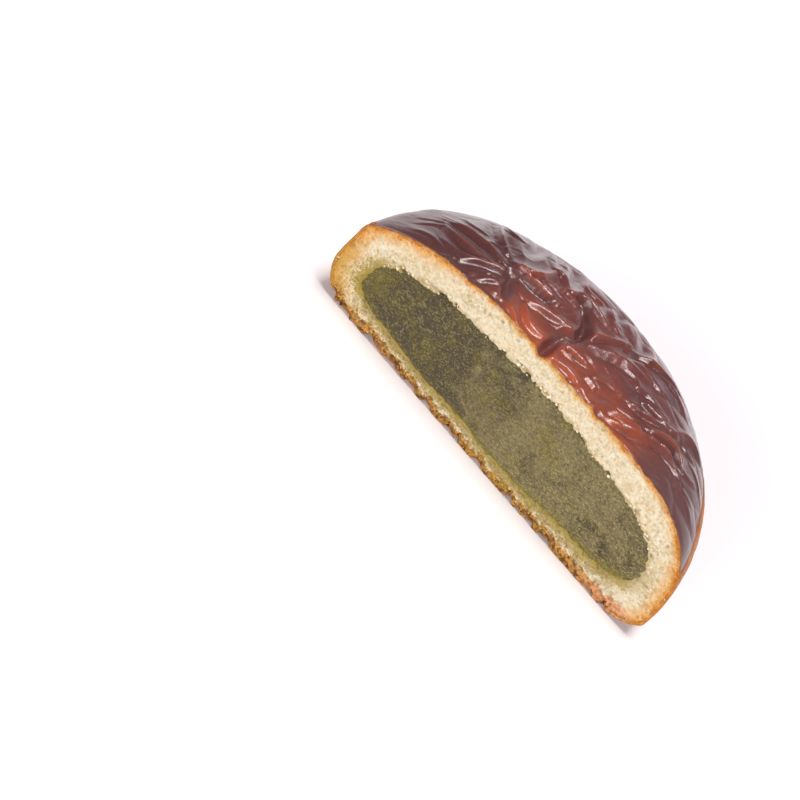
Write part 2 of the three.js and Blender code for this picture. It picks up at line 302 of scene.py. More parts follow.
def smoothstep(low, high, value):
    t = np.clip((value - low) / (high - low), 0.0, 1.0)
    return t * t * (3.0 - 2.0 * t)


def linear(code):
    """Linear colour of a six digit web colour code."""
    parts = [int(code[i : i + 2], 16) / 255 for i in (0, 2, 4)]
    return tuple(
        part / 12.92 if part <= 0.04045 else ((part + 0.055) / 1.055) ** 2.4
        for part in parts
    )


def placed(points):
    """Points of the cut's plan in mm as points of the frame in metres."""
    return (np.asarray(points) + np.array([MIDDLE_X, CUT_PLANE, 0.0])) / 1000.0


def kept_in_box(points):
    """Points in metres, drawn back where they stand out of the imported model."""
    low, high = (np.array(corner) for corner in CAD_BOUNDS)
    return np.clip(points, low, high)


def sum_of_waves(waves, angle):
    return sum(size * np.sin(count * angle + phase) for count, size, phase in waves)


def lattice(ix, iy, iz, seed):
    """A number from 0 to 1 for each whole-numbered place."""
    mask = 0xFFFFFFFF
    value = (ix * 374761393 + iy * 668265263 + iz * 1103515245 + seed * 974711) & mask
    value = ((value ^ (value >> 13)) * 1274126177) & mask
    value = value ^ (value >> 16)
    return value / mask


def noise(x, y, z, size, seed):
    """Smooth noise from -1 to 1 in lumps of a size: one, or one for each axis."""
    size_x, size_y, size_z = size if isinstance(size, tuple) else (size, size, size)
    parts = []
    for place, lump in ((x, size_x), (y, size_y), (z, size_z)):
        scaled = np.asarray(place, dtype=float) / lump
        cell = np.floor(scaled).astype(np.int64)
        share = scaled - cell
        parts.append((cell, share * share * share * (share * (share * 6 - 15) + 10)))
    (ix, fx), (iy, fy), (iz, fz) = parts
    total = 0.0
    for dx in (0, 1):
        for dy in (0, 1):
            for dz in (0, 1):
                weight = (fx if dx else 1 - fx) * (fy if dy else 1 - fy) * (fz if dz else 1 - fz)
                total = total + weight * lattice(ix + dx, iy + dy, iz + dz, seed)
    return total * 2 - 1


def layered(x, y, z, layers):
    """Layers of noise, one on the other: the height, size and seed of each."""
    return sum(height * noise(x, y, z, size, seed) for height, size, seed in layers)


def draws(seed):
    """A seeded stream of numbers from 0 up to 1."""
    state = seed
    while True:
        state = (state * 1664525 + 1013904223) % 4294967296
        yield state / 4294967296


# ---------------------------------------------------- relief of the glaze


def fold_points(start, middle, end):
    """Points along the curve from start to end that passes through middle."""
    t = np.linspace(0.0, 1.0, FOLD_STEPS + 1)[:, None]
    start, middle, end = (np.array(p, dtype=float) for p in (start, middle, end))
    bend = 2 * middle - (start + end) / 2
    return (1 - t) ** 2 * start + 2 * t * (1 - t) * bend + t**2 * end


def beside_line(points, x, y):
    """Distance to a line of points, below 0 on the cut's side, and the place
    along it, from 0 to 1."""
    nearest = np.full(len(x), np.inf)
    offset = np.zeros(len(x))
    along = np.zeros(len(x))
    heading = 1.0 if points[-1, 0] > points[0, 0] else -1.0
    for i in range(FOLD_STEPS):
        a, b = points[i], points[i + 1]
        u = b - a
        share = np.clip(((x - a[0]) * u[0] + (y - a[1]) * u[1]) / (u @ u), 0, 1)
        away_x = x - a[0] - share * u[0]
        away_y = y - a[1] - share * u[1]
        distance = np.hypot(away_x, away_y)
        side = np.sign(u[0] * away_y - u[1] * away_x) * heading
        closer = distance < nearest
        nearest[closer] = distance[closer]
        offset[closer] = (side * distance)[closer]
        along[closer] = (i + share[closer]) / FOLD_STEPS
    return offset, along


def bump_at(offset, middle, width):
    return np.exp(-(((offset - middle) / width) ** 2))


def ridge(offset, width):
    """A crisp crest with a soft back and a steep front, and a groove before it."""
    fall = np.where(offset > 0, 1.45, 0.6) * width
    crest = np.exp(-(np.sqrt(offset**2 + CREST_ROUND**2) - CREST_ROUND) / fall)
    return crest - 0.34 * bump_at(offset, -1.3 * width, 0.6 * width)


def crease(offset, width):
    """A narrow valley with a crisp lip on each side."""
    valley = 1 / np.cosh(offset / width) ** 2
    lip = np.exp(-np.abs(np.abs(offset) - 1.6 * width) / (0.45 * width))
    return valley - 0.22 * lip


def bank(offset, width):
    """A slope that faces the cut, with a groove at its foot and one behind it."""
    slope = np.clip(offset / width + 0.5, 0, 1)
    back = np.exp(-np.maximum(offset - width / 2, 0) / (1.3 * width))
    behind = bump_at(offset, width / 2 + 0.45, 0.34)
    foot = bump_at(offset, -width / 2 - 0.3, 0.3)
    return slope * back - 0.75 * behind - 0.35 * foot


def fold_height(fold, profile, x, y):
    """Height that one fold adds at each place, and how near its line is."""
    start, middle, end, width, height = fold
    points = fold_points(start, middle, end)
    added = np.zeros_like(x)
    nearness = np.zeros_like(x)
    margin = 5 * width
    near = (
        (x > points[:, 0].min() - margin)
        & (x < points[:, 0].max() + margin)
        & (y > points[:, 1].min() - margin)
        & (y < points[:, 1].max() + margin)
    )
    offset, along = beside_line(points, x[near], y[near])
    taper = np.sqrt(np.sin(np.pi * mix(0.06, 0.94, along)))
    if profile is bank:
        taper = taper * smoothstep(0, 0.12, np.minimum(along, 1 - along))
    added[near] = height * profile(offset, width) * taper
    nearness[near] = taper / np.cosh(offset / width) ** 2
    return added, nearness


def pad_height(x, y):
    draw = draws(PAD_SEED)
    first = np.full_like(x, np.inf)
    second = np.full_like(x, np.inf)
    for row_y in np.arange(-9, 52, PAD_WIDTH):
        for row_x in np.arange(-60, 60, PAD_LENGTH):
            pad_x = row_x + PAD_LENGTH * PAD_JITTER * (next(draw) - 0.5) * 2
            pad_y = row_y + PAD_WIDTH * PAD_JITTER * (next(draw) - 0.5)
            distance = np.hypot((x - pad_x) * (PAD_WIDTH / PAD_LENGTH), y - pad_y)
            second = np.minimum(second, np.maximum(first, distance))
            first = np.minimum(first, distance)
    return -PAD_HEIGHT * np.exp(-(second - first) / PAD_CREASE)


def puckers(x, y, radius_share):
    """Height of the folds and pads above the smooth top."""
    height = np.zeros_like(x)
    near_folds = np.zeros_like(x)
    for fold in FOLDS + FINE_FOLDS:
        profile = ridge if fold[4] > 0 else crease
        added, nearness = fold_height(fold, profile, x, y)
        height += added
        near_folds = np.maximum(near_folds, nearness)
    for fold in BANKS:
        added, nearness = fold_height(fold, bank, x, y)
        hatch = noise(x, y, 0 * x, (0.55, 1.5, 1.0), 13)
        height += added + BANK_HATCH * hatch * smoothstep(0.2, 0.8, nearness)
        near_folds = np.maximum(near_folds, nearness)
    pad_share = mix(1.0, PAD_SHARE_NEAR_FOLDS, smoothstep(0, 0.5, near_folds))
    pad_share = pad_share * mix(PAD_SHARE_IN_FRONT, PAD_SHARE_BEHIND, smoothstep(20, 30, y))
    height += pad_height(x, y) * pad_share
    height = height * FOLD_SCALE - FOLD_SINK
    return height * (1 - smoothstep(PUCKER_FADES_FROM, PUCKER_ENDS_AT, radius_share))


def wrinkles(x, y, z, radius_share):
    """Fine wrinkles of the glaze, drawn out along the cut."""
    bend = 1.4 * noise(x, y, z, 8.0, 11)
    long_ones = 1 - 2 * np.abs(noise(x, y + bend, z, (6.0, 1.3, 6.0), 5))
    short_ones = 1 - 2 * np.abs(noise(x + bend, y + bend, z, (2.0, 0.7, 4.0), 6))
    here = smoothstep(0.1, 0.6, noise(x, y, z, 6.0, 12))
    calm = 1 - 0.7 * smoothstep(0.62, 0.9, radius_share)
    swell = 0.14 * noise(x, y, z, (6.0, 3.2, 8.0), 14)
    return swell + (0.09 * long_ones + 0.06 * short_ones) * here * calm


# ------------------------------------------------------------ bun surface


def side_towards(angle):
    """The side of the bun that faces a direction of the plan."""
    share = (1 + np.cos(angle)) / 2
    side = {name: mix(LEFT_SIDE[name], RIGHT_SIDE[name], share) for name in LEFT_SIDE}
    side["radius"] = side["radius"] + sum_of_waves(OUTLINE_WAVES, angle)
    return side


def radius_at(side, z):
    """Radius of the skin at a height, and 0 above the top or below the base."""
    up = np.clip((z - side["widest_at"]) / (BUN_HEIGHT - side["widest_at"]), 0, 1)
    down = np.clip((side["widest_at"] - z) / side["widest_at"], 0, 1)
    upper = side["radius"] * (1 - up ** side["shoulder"]) ** (1 / side["flatness"])
    lower = mix(BASE_RADIUS, side["radius"], (1 - down**BASE_CURVE) ** (1 / BASE_CURVE))
    radius = np.where(z >= side["widest_at"], upper, lower)
    radius = radius + side["swell"] * np.exp(-(((z - SWELL_AT) / SWELL_WIDTH) ** 2))
    return np.where((z < 0) | (z > BUN_HEIGHT), 0.0, radius)


def polar(x, y):
    """Angle and radius of a place in the bun's own plan."""
    across = (y - CENTRE_Y) / DEPTH_RATIO
    return np.arctan2(across, x), np.hypot(x, across)


def in_bun(x, y, z):
    angle, radius = polar(x, y)
    return radius < radius_at(side_towards(angle), z)


def paste_level(x, y, z, margin=0.0):
    """0 in the middle of the paste and 1 on its surface, grown by a margin."""
    share = np.full_like(x, 0.5)
    uneven = np.zeros_like(x)
    steep = np.zeros_like(x)
    level = np.ones_like(x)
    for _ in range(4):
        size = {name: mix(PASTE_LEFT[name], PASTE_RIGHT[name], share) for name in PASTE_LEFT}
        height = z - size["middle"]
        half = np.where(height > 0, size["rise"], size["drop"]) + margin
        reach = size["reach"] + margin + uneven * np.sqrt(1 - steep**2)
        a = x / reach
        b = (y - CENTRE_Y) / (reach * PASTE_DEPTH_RATIO)
        c = height / (half + uneven * np.abs(steep))
        curve = np.where(height > 0, PASTE_TOP_CURVE, PASTE_BOTTOM_CURVE)
        level = (np.hypot(a, b) ** curve + np.abs(c) ** curve) ** (1 / curve)
        length = np.sqrt(a * a + b * b + c * c) + 1e-9
        steep = c / length
        share = (1 + a / length) / 2
        uneven = sum_of_waves(PASTE_WAVES, a / length + b / length * steep)
    return level


def in_paste(x, y, z):
    return paste_level(x, y, z) < 1


def in_hollow(x, y, z):
    return paste_level(x, y, z, HOLLOW_MARGIN) < 1


def reach_from(is_inside, start, towards):
    """Where rays from inside a body meet its surface, by halving."""
    low = np.zeros(np.broadcast(start[0], towards[0]).shape)
    high = np.full_like(low, RAY_LENGTH)
    for _ in range(HALVINGS):
        middle = (low + high) / 2
        within = is_inside(*(s + t * middle for s, t in zip(start, towards)))
        low = np.where(within, middle, low)
        high = np.where(within, high, middle)
    return [s + t * low for s, t in zip(start, towards)]


# ------------------------------------------------- sections through the bun

# A section across the bun is met by rays that fan out from a short middle
# line, so that the columns of a mesh stand square to the crust all round.
RUN_RAYS = 300
FAN_RAYS = 500
MIDDLE_LINE = 28.0  # half its length at the cut
MIDDLE_HEIGHT = 11.5


def section_rays():
    """Start of each ray along the middle line, from -1 to 1, and its way."""
    half = np.linspace(0, 1, RUN_RAYS // 2, endpoint=False)
    run = np.linspace(-1, 1, RUN_RAYS, endpoint=False)
    fan = np.linspace(0, np.pi, FAN_RAYS, endpoint=False)
    ends = np.ones(FAN_RAYS)
    start = np.concatenate([-half, -ends, run, ends, 1 - half])
    turn = np.concatenate(
        [half * 0, fan, run * 0 + np.pi, np.pi + fan, half * 0 + 2 * np.pi]
    )
    return start, -np.sin(turn), -np.cos(turn)


def deepest_place():
    """Where the bun's back lies farthest from the cut."""
    angle = np.linspace(0.8, 2.4, 8001)
    side = side_towards(angle)
    y = CENTRE_Y + side["radius"] * np.sin(angle) * DEPTH_RATIO
    best = int(np.argmax(y))
    x = side["radius"][best] * np.cos(angle[best])
    return np.array([x, y[best], side["widest_at"][best]])


BACK = deepest_place()


def section_depths():
    """Depths of the sections, evenly spaced along the skin from back to cut."""
    side = side_towards(np.array(math.pi / 2))
    turn = np.linspace(0, math.pi / 2, 4001)
    z = mix(float(side["widest_at"]), BUN_HEIGHT, np.sin(turn))
    y = CENTRE_Y + radius_at(side, z) * DEPTH_RATIO
    y = np.minimum.accumulate(np.minimum(y, BACK[1]))
    coarse = mix(SIDE_STEPS, 1.0, smoothstep(14, 25, z[1:]))
    length = np.concatenate([[0], np.cumsum(np.hypot(np.diff(y), np.diff(z)) / coarse)])
    at_cut = np.interp(0.0, y[::-1], length[::-1])
    count = int(at_cut / SKIN_STEP)
    wanted = np.linspace(0, at_cut, count + 1)[1:]
    depths = np.interp(wanted, length, y)
    depths[-1] = 0.0
    return depths


def middle_lines(y):
    """Middle of a section at a depth, and half the length of its middle line."""
    deep = np.clip(y / BACK[1], 0, 1)
    centre_x = BACK[0] * deep**2
    centre_z = mix(MIDDLE_HEIGHT, BACK[2], deep**2)
    return centre_x, centre_z, MIDDLE_LINE * np.sqrt(1 - deep**2)


def section(y, is_inside):
    """Outline of a body at depths y, met by the rays of a section."""
    start, dx, dz = section_rays()
    centre_x, centre_z, half = (np.asarray(v)[:, None] for v in middle_lines(y))
    origin = (centre_x + start * half, y[:, None] + start * 0, centre_z + start * 0)
    return reach_from(is_inside, origin, (dx, dx * 0, dz))


def even_places(x, z, weight, count):
    """Even places along closed lines, closer together where weight is high."""
    step = np.hypot(np.roll(x, -1, 1) - x, np.roll(z, -1, 1) - z) * weight
    length = np.concatenate([np.zeros((len(x), 1)), np.cumsum(step, 1)], 1)
    whole = np.arange(x.shape[1] + 1)
    wanted = [np.linspace(0, total, count, endpoint=False) for total in length[:, -1]]
    return np.array([np.interp(w, run, whole) for w, run in zip(wanted, length)])


def at_places(places, *lines):
    """Values of closed lines at places between their points."""
    before = np.floor(places).astype(int)
    share = places - before
    results = []
    for line in lines:
        after = (before + 1) % line.shape[1]
        a = np.take_along_axis(line, before % line.shape[1], 1)
        b = np.take_along_axis(line, after, 1)
        results.append(mix(a, b, share))
    return results


def grid_normals(points):
    """Outward unit normals of points laid out as rows round the bun."""
    across = np.roll(points, -1, 1) - np.roll(points, 1, 1)
    along = np.gradient(points, axis=0)
    normals = np.cross(along, across)
    return normals / (np.linalg.norm(normals, axis=2, keepdims=True) + 1e-12)


# ------------------------------------------------------------- face of the cut


def face_depth(x, z, from_edge, from_paste, on_base):
    """How far the cut's surface lies behind the knife's plane, and painted shade for its pits,
    gaps and crumbly base.
    """
    zero = np.zeros_like(x)
    swirl = 1.6 * noise(x, zero, z, 5.0, 21)
    wide = noise(x + swirl, zero, z - swirl, (5.0, 1.0, 3.2), 22)
    fine = noise(x + swirl, zero, z + swirl, (1.5, 1.0, 1.0), 23)
    cotton = layered(x, zero, z, COTTON)
    pores = noise(x + swirl, zero, z - swirl, (0.9, 1.0, 0.6), 24)
    open_here = smoothstep(-0.1, 0.5, noise(x, zero, z, (3.4, 1.0, 2.2), 29))
    torn = smoothstep(0.1, 0.7, noise(x, zero, z, (1.6, 1.0, 1.2), 25))
    grains = layered(x, zero, z, BASE_GRAINS)
    pit = smoothstep(0.3, 0.8, pores) * open_here * smoothstep(0.3, 1.2, from_edge)
    gap = torn * np.exp(-((from_paste / 0.7) ** 2)) * smoothstep(13, 17, z)
    crumbly = smoothstep(-0.05, -0.6, grains) * on_base
    depth = FACE_DEPTH + 0.12 * wide + 0.06 * fine + 0.19 * cotton + 0.26 * pit + 0.8 * gap
    depth = depth + (0.5 * crumbly + 0.14 * grains) * on_base
    # dark is painted shade: darker in pits, in gaps by the paste, on the crumbly base and where
    # the cotton relief sinks in.
    dark = np.clip(0.8 * pit + gap + crumbly + 0.5 * smoothstep(0.1, 0.8, cotton), 0, 1)
    return np.maximum(depth, 0.02), dark


# ------------------------------------------------------------------ meshes


def coordinates(mesh):
    points = np.empty(len(mesh.vertices) * 3)
    mesh.vertices.foreach_get("co", points)
    return points.reshape(-1, 3)


def place_vertices(mesh, points):
    mesh.vertices.foreach_set("co", kept_in_box(placed(points)).ravel())


def finish_mesh(bm, mesh):
    """Merges seams, turns all faces outwards and makes them smooth."""
    seam = [vert for vert in bm.verts if vert.is_boundary]
    bmesh.ops.remove_doubles(bm, verts=seam, dist=SEAM_GAP)
    bmesh.ops.recalc_face_normals(bm, faces=bm.faces)
    for face in bm.faces:
        face.smooth = True
    bm.to_mesh(mesh)
    bm.free()


def wrap_grid(name, rows, marks, face_row):
    """A closed mesh from a grid that is wrapped round a body, row by row.

    The ends of each row meet, and so do the first and the last row, unless
    they are poles, whose points are all one. Faces from face_row on take the
    second material.
    """
    height, width = rows.shape[:2]
    bm = bmesh.new()
    bmesh.ops.create_grid(bm, x_segments=width, y_segments=height - 1, size=1)
    mesh = bpy.data.meshes.new(name)
    bm.to_mesh(mesh)
    bm.free()
    flat = coordinates(mesh)
    column = np.rint((flat[:, 0] + 1) / 2 * width).astype(int) % width
    row = np.rint((flat[:, 1] + 1) / 2 * (height - 1)).astype(int)
    place_vertices(mesh, rows[row, column])
    for mark, values in marks.items():
        layer = mesh.attributes.new(mark, "FLOAT", "POINT")
        layer.data.foreach_set("value", values[row, column].astype(np.float32))
    corner = np.empty(len(mesh.loops), dtype=np.int32)
    mesh.loops.foreach_get("vertex_index", corner)
    is_second = row[corner].reshape(-1, 4).max(1) > face_row
    mesh.polygons.foreach_set("material_index", is_second.astype(np.int32))
    bm = bmesh.new()
    bm.from_mesh(mesh)
    finish_mesh(bm, mesh)
    return mesh


def pole_row(point, columns):
    """A row whose points are all one."""
    return np.tile(np.asarray(point, dtype=float), (1, columns, 1))


def add_piece(mesh, name, materials, node=None):
    """Puts a finished mesh into the scene as a piece of the half bun."""
    for material in materials:
        mesh.materials.append(material)
    piece = bpy.data.objects.new(name, mesh)
    bpy.context.collection.objects.link(piece)
    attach(piece, "root")
    if node:
        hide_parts(node)
    return piece


# ------------------------------------------------------- shape of the crust


def column_weight(y, z):
    """How close the columns stand: most on the top, least under the base."""
    weight = mix(0.6, 1.0, smoothstep(17, 21, z))
    deep = smoothstep(0.5, 14, y)
    on_base = 1 - smoothstep(0.05, 0.6, z)
    return mix(weight, 0.14, on_base * deep)


class Cut:
    """Outlines of the crust and of the hollow in the knife's plane.

    They are met by the same rays, so that a column of the face runs straight
    from one to the other.
    """

    def __init__(self, columns):
        x, y, z = section(np.zeros(1), in_bun)
        hollow_x, _, hollow_z = section(np.zeros(1), in_hollow)
        self.places = even_places(x, z, column_weight(y, z), columns)
        lines = at_places(self.places, x, z, hollow_x, hollow_z)
        self.x, self.z, self.hollow_x, self.hollow_z = (line[0] for line in lines)
        self.width = np.hypot(self.hollow_x - self.x, self.hollow_z - self.z)
        self.crown = smoothstep(18, 22, self.z)
        self.base = 1 - smoothstep(1.0, 4.5, self.z)
        folded = relief_on_skin(skin_rows(section_depths()[-3:], columns))[0][-1]
        self.fold_x = folded[:, 0] - self.x
        self.fold_z = folded[:, 2] - self.z

    def inwards(self, distance):
        """Places on the face that lie a distance in from the folded crust."""
        share = distance / self.width
        fold = 1 - smoothstep(0, 3.5, distance)
        x = mix(self.x, self.hollow_x, share) + self.fold_x * fold
        z = mix(self.z, self.hollow_z, share) + self.fold_z * fold
        return x, z

    def face(self, distance, dip=0.0):
        """A row of the face at a distance from the crust, with its marks."""
        x, z = self.inwards(distance)
        from_hollow = self.width - distance
        # pit here is the painted shade of pores, gaps and crumbly base.
        depth, pit = face_depth(x, z, distance, from_hollow, self.base)
        points = np.stack([x, np.minimum(depth + dip, SLAB_DEPTH - 0.15), z], 1)
        return points, self.marks(distance, pit)

    def flat(self, distance, y):
        """A row at one depth behind the face."""
        x, z = self.inwards(distance)
        return np.stack([x, y + 0 * x, z], 1), self.marks(distance, 0 * x)

    def marks(self, distance, pit):
        distance = distance + 0 * self.x
        return {
            "from_edge": distance,
            "from_hollow": self.width - distance,
            # pit: painted shade of pores, gaps and crumbly base
            "pit": pit,
            "crown": self.crown,
            "base": self.base,
        }


def skin_rows(depths, columns):
    """The smooth skin at some depths, as rows of points."""
    x, y, z = section(depths, in_bun)
    places = even_places(x, z, column_weight(y, z), columns)
    return np.stack(at_places(places, x, y, z), 2)


def relief_on_skin(points):
    """Moves the smooth skin into its folds, wrinkles and crumbly base."""
    x, y, z = points[..., 0], points[..., 1], points[..., 2]
    angle, radius = polar(x, y)
    side = side_towards(angle)
    share = radius / side["radius"]
    on_top = z > side["widest_at"]
    flat_x, flat_y, flat_share = x.ravel(), y.ravel(), share.ravel()
    height = puckers(flat_x, flat_y, flat_share).reshape(x.shape) * on_top
    slant = smoothstep(0.5, 10, y) * np.interp(x, SLANT_AT, GLAZE_SLANT)
    above_line = z - GLAZE_ENDS_AT - slant - layered(x, y, z, GLAZE_WANDERS)
    behind = smoothstep(2, 10, y)
    edge = GLAZE_EDGE * mix(1.0, GLAZE_EDGE_BEHIND, behind)
    glaze = smoothstep(-edge, edge, above_line)
    fine = wrinkles(x, y, z, share) * glaze
    ruts = 1 - 2 * np.abs(noise(angle * 44, z, z * 0, (1.5, 9.0, 1.0), 34))
    band = smoothstep(GLAZE_ENDS_AT - 9, GLAZE_ENDS_AT - 1, z) * (1 - glaze)
    side_relief = layered(x, y, z, SIDE_GRAIN) + mix(*RUT_DEPTHS, behind) * ruts * band
    side_relief = side_relief * (1 - glaze)
    low = 1 - smoothstep(0.6, BASE_CRUMBLES_UP_TO, z)
    crumbly = smoothstep(0.0, 0.8, layered(x, y, z, BASE_BITS)) * low
    torn = mix(*BASE_TORN, smoothstep(0.5, 5, y))
    torn = torn * mix(1.0, BASE_TORN_AT_RIGHT, smoothstep(15, 36, x))
    normal = grid_normals(points)
    moved = points + normal * (fine + side_relief - torn * crumbly)[..., None]
    moved[..., 2] += height
    marks = {
        "glaze": glaze,
        "above_line": above_line,
        "rise": height + fine,
        "crumbly": crumbly,
        "from_cut": y,
    }
    return moved, marks


def hollow_rows(cut):
    """The hollow behind the cut, along the same rays as the face."""
    start, dx, dz = section_rays()
    y = HOLLOW_DEPTHS[:, None]
    half = HOLLOW_LINE * np.sqrt(1 - ((y - CENTRE_Y) / (HOLLOW_END - CENTRE_Y)) ** 2)
    origin = (start * half, y + start * 0, MIDDLE_HEIGHT + 0 * start * half)
    places = np.repeat(cut.places, len(HOLLOW_DEPTHS), 0)
    return at_places(places, *reach_from(in_hollow, origin, (dx, dx * 0, dz)))


def crust_shape():
    """Rows of the crust from its back to the hollow's end, with their marks."""
    skin, skin_marks = relief_on_skin(skin_rows(section_depths(), CRUST_COLUMNS))
    cut = Cut(CRUST_COLUMNS)
    face = [cut.face(distance, dip) for distance, dip in RIM_ROWS]
    skin[-1, :, 1] = face[0][0][:, 1] * 0.5
    for distance in (RIM + 0.05, cut.width * 0.5, cut.width):
        face.append(cut.flat(distance, RECESS))
    for x, y, z in zip(*hollow_rows(cut)):
        face.append((np.stack([x, y, z], 1), cut.marks(cut.width, 0 * x)))
    rows = np.concatenate([skin, np.array([points for points, _ in face])])
    marks = {}
    for name, values in skin_marks.items():
        marks[name] = np.concatenate([values, np.repeat(values[-1:], len(face), 0)])
    for name in face[0][1]:
        values = np.array([mark[name] for _, mark in face])
        marks[name] = np.concatenate([np.repeat(values[:1], len(skin), 0), values])
    return rows, marks, len(skin)


def make_crust(materials):
    """The crust with its glazed skin, base, cut rim and hollow."""
    rows, marks, skin_count = crust_shape()
    back = pole_row(BACK, CRUST_COLUMNS)
    end = pole_row((0.0, HOLLOW_END - 0.2, MIDDLE_HEIGHT), CRUST_COLUMNS)
    rows = np.concatenate([back, rows, end])
    for name, values in marks.items():
        marks[name] = np.concatenate([values[:1], values, values[-1:]])
    mesh = wrap_grid("crust", rows, marks, skin_count)
    return add_piece(mesh, "crust", materials, "bread")


# -------------------------------------------------------- shape of the crumb


def make_crumb(material):
    """The crumb of the cut: a slab with a porous face, set behind the rim."""
    cut = Cut(CRUMB_COLUMNS)
    lap = 0.3 + layered(cut.hollow_x, 0 * cut.x, cut.hollow_z, CRUMB_LAPS)
    end = cut.width + np.maximum(lap, 0.05) + HOLLOW_MARGIN
    rows = []
    for share in np.linspace(0, 1, CRUMB_ROWS):
        rim = max(0.0, 1 - share * 14)
        brink = smoothstep(0.95, 1.0, share)
        rows.append(cut.face(mix(SLAB_STARTS_AT, end, share), 0.3 * rim + 0.25 * brink))
    for distance, y in (
        (end, SLAB_DEPTH - SLAB_BEVEL),
        (end - SLAB_BEVEL, SLAB_DEPTH),
        (mix(SLAB_STARTS_AT, end, 0.5), SLAB_DEPTH),
        (SLAB_STARTS_AT + SLAB_BEVEL, SLAB_DEPTH),
        (SLAB_STARTS_AT, SLAB_DEPTH - SLAB_BEVEL),
    ):
        rows.append(cut.flat(distance, y))
    rows.append(rows[0])
    marks = {name: np.array([mark[name] for _, mark in rows]) for name in rows[0][1]}
    mesh = wrap_grid("crumb", np.array([points for points, _ in rows]), marks, len(rows))
    return add_piece(mesh, "crumb", [material], "bread")


# -------------------------------------------------------- shape of the paste


def paste_sections():
    """Places along the cut for the paste's slices, evenly along its edge."""
    zero = np.zeros(1)
    ends = []
    for way, side in ((-1.0, PASTE_LEFT), (1.0, PASTE_RIGHT)):
        start = (zero, zero, zero + side["middle"])
        ends.append(reach_from(in_paste, start, (zero + way, zero, zero))[0][0])
    left, right = ends
    x = mix(left, right, (1 - np.cos(np.linspace(0, math.pi, 4001)[1:-1])) / 2)
    top = paste_edge(x, paste_middle(x, left, right), 1)
    length = np.concatenate([[0], np.cumsum(np.hypot(np.diff(x), np.diff(top)))])
    wanted = np.linspace(0, length[-1], PASTE_SLICES + 1)[1:-1]
    return left, right, np.interp(wanted, length, x)


def paste_middle(x, left, right):
    share = (x - left) / (right - left)
    return mix(PASTE_LEFT["middle"], PASTE_RIGHT["middle"], share)


def paste_edge(x, z, way):
    """Height of the paste's edge above or below places in the cut."""
    zero = np.zeros_like(x)
    return reach_from(in_paste, (x, zero, z), (zero, zero, zero + way))[2]


def paste_face(x, z):
    """How far the paste's face lies behind the knife's plane."""
    zero = np.zeros_like(x)
    brink = smoothstep(0.9, 1.0, paste_level(x, zero, z))
    return FACE_DEPTH + layered(x, zero, z, PASTE_FACE) + 0.3 * brink


def make_paste(material):
    """The bean paste, sliced along the cut from its left end to its right."""
    left, right, x = paste_sections()
    z = paste_middle(x, left, right)
    top, bottom = (paste_edge(x, z, way)[:, None] for way in (1, -1))
    front_z = mix(bottom, top, np.linspace(0, 1, PASTE_FRONT_ROWS))
    front_x = np.broadcast_to(x[:, None], front_z.shape)
    front = np.stack([front_x, paste_face(front_x, front_z), front_z], 2)
    turn = np.linspace(math.pi / 2, -math.pi / 2, PASTE_BACK_ROWS + 2)[1:-1]
    shape = (len(x), PASTE_BACK_ROWS)
    start = tuple(np.broadcast_to(v[:, None], shape) for v in (x, 0 * x, z))
    back = np.stack(reach_from(in_paste, start, (0 * turn, np.cos(turn), np.sin(turn))), 2)
    back[..., 1] = np.maximum(back[..., 1], PASTE_ENDS_BEHIND)
    rows = np.concatenate([front, back], 1)
    first, last = (
        pole_row((end, PASTE_ENDS_BEHIND, side["middle"]), rows.shape[1])
        for end, side in ((left, PASTE_LEFT), (right, PASTE_RIGHT))
    )
    rows = np.concatenate([first, rows, last])
    level = paste_level(front_x, 0 * front_x, front_z)
    brink = np.pad(level, ((1, 1), (0, PASTE_BACK_ROWS)), constant_values=1.0)
    mesh = wrap_grid("paste", rows, {"brink": brink}, len(rows))
    return add_piece(mesh, "paste", [material], "filling")


# ------------------------------------------------------------- loose crumbs

CRUMB_SEED = 7741
CRUMB_LUMPS = 150
LUMP_RADII = (0.14, 0.32)
LUMP_DEPTH = 0.34  # behind the knife's plane
LUMPS_BY_PASTE_ABOVE = 16  # lower ones lie along the crust


def make_loose_crumbs(material):
    """Small crumbs that cling to the cut by the paste and along the base."""
    draw = draws(CRUMB_SEED)
    cut = Cut(CRUMB_COLUMNS)
    bm = bmesh.new()
    for _ in range(CRUMB_LUMPS):
        column = int(next(draw) * CRUMB_COLUMNS)
        size = mix(*LUMP_RADII, next(draw) ** 2)
        if cut.z[column] > LUMPS_BY_PASTE_ABOVE:
            distance = cut.width[column] - mix(-0.5, 0.9, next(draw))
        else:
            distance = mix(0.3, 2.2, next(draw))
        x, z = (line[column] for line in cut.inwards(distance))
        stretch = Matrix.Diagonal((mix(0.8, 1.5, next(draw)), 0.8, mix(0.7, 1.2, next(draw))))
        turn = Matrix.Rotation(next(draw) * math.pi, 3, "Y")
        made = bmesh.ops.create_icosphere(bm, subdivisions=2, radius=size)["verts"]
        bmesh.ops.transform(bm, matrix=(turn @ stretch).to_4x4(), verts=made)
        bmesh.ops.translate(bm, vec=(x, LUMP_DEPTH, z), verts=made)
    mesh = bpy.data.meshes.new("loose_crumbs")
    finish_mesh(bm, mesh)
    points = coordinates(mesh)
    rough = 0.07 * noise(*points.T, 0.25, 61)
    place_vertices(mesh, points + np.stack([rough, np.abs(rough), -rough], 1))
    mesh.update()
    return add_piece(mesh, "loose_crumbs", [material])


# ---------------------------------------------------------------- materials


